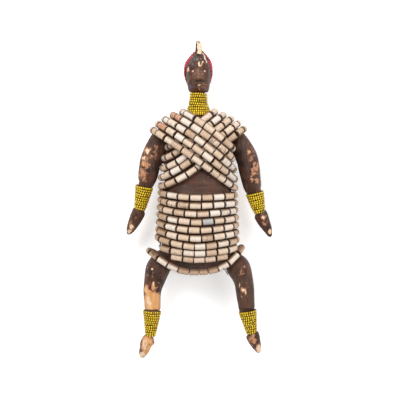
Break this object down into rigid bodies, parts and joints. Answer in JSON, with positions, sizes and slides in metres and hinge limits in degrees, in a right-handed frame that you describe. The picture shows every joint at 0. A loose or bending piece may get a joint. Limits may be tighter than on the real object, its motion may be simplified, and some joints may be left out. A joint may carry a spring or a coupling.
{
  "type": "namji doll",
  "caption": "Carved wooden doll with a horned head, dressed in crossed straps and a belt of pale bead strands, lying on its back.",
  "frame": {"origin": "on the ground under the middle of the doll's box", "axes": "+Z out of the doll's chest, +Y towards its head, +X to the right of someone who looks at its face"},
  "size_m": [0.1492, 0.3244, 0.0731],
  "materials": {
    "dark_wood": "dark, rubbed and partly worn patina",
    "pale_bead": "matt, chipped at the ends",
    "yellow_seed_bead": "opaque, slightly glossy",
    "red_seed_bead": "opaque, glossy",
    "pale_eye": "opaque, satin"
  },
  "bodies": {
    "root": {"wooden_figure": "dark_wood", "belt_strand_1": "pale_bead", "belt_strand_2": "pale_bead", "belt_strand_3": "pale_bead", "belt_strand_4": "pale_bead", "belt_strand_5": "pale_bead", "belt_strand_6": "pale_bead", "belt_strand_7": "pale_bead", "belt_strand_8": "pale_bead", "belt_strand_9": "pale_bead", "hip_strand": "pale_bead", "shoulder_strand_a1": "pale_bead", "shoulder_strand_a2": "pale_bead", "shoulder_strand_a3": "pale_bead", "shoulder_strand_a4": "pale_bead", "shoulder_strand_a5": "pale_bead", "shoulder_strand_b1": "pale_bead", "shoulder_strand_b2": "pale_bead", "shoulder_strand_b3": "pale_bead", "shoulder_strand_b4": "pale_bead", "shoulder_strand_b5": "pale_bead", "neck_collar": "yellow_seed_bead", "left_wrist_cuff": "yellow_seed_bead", "right_wrist_cuff": "yellow_seed_bead", "left_ankle_cuff": "yellow_seed_bead", "right_ankle_cuff": "yellow_seed_bead", "head_strand_front": "red_seed_bead", "head_strand_back": "red_seed_bead", "left_eye_stud": "pale_eye", "right_eye_stud": "pale_eye"}
  },
  "joints": []
}
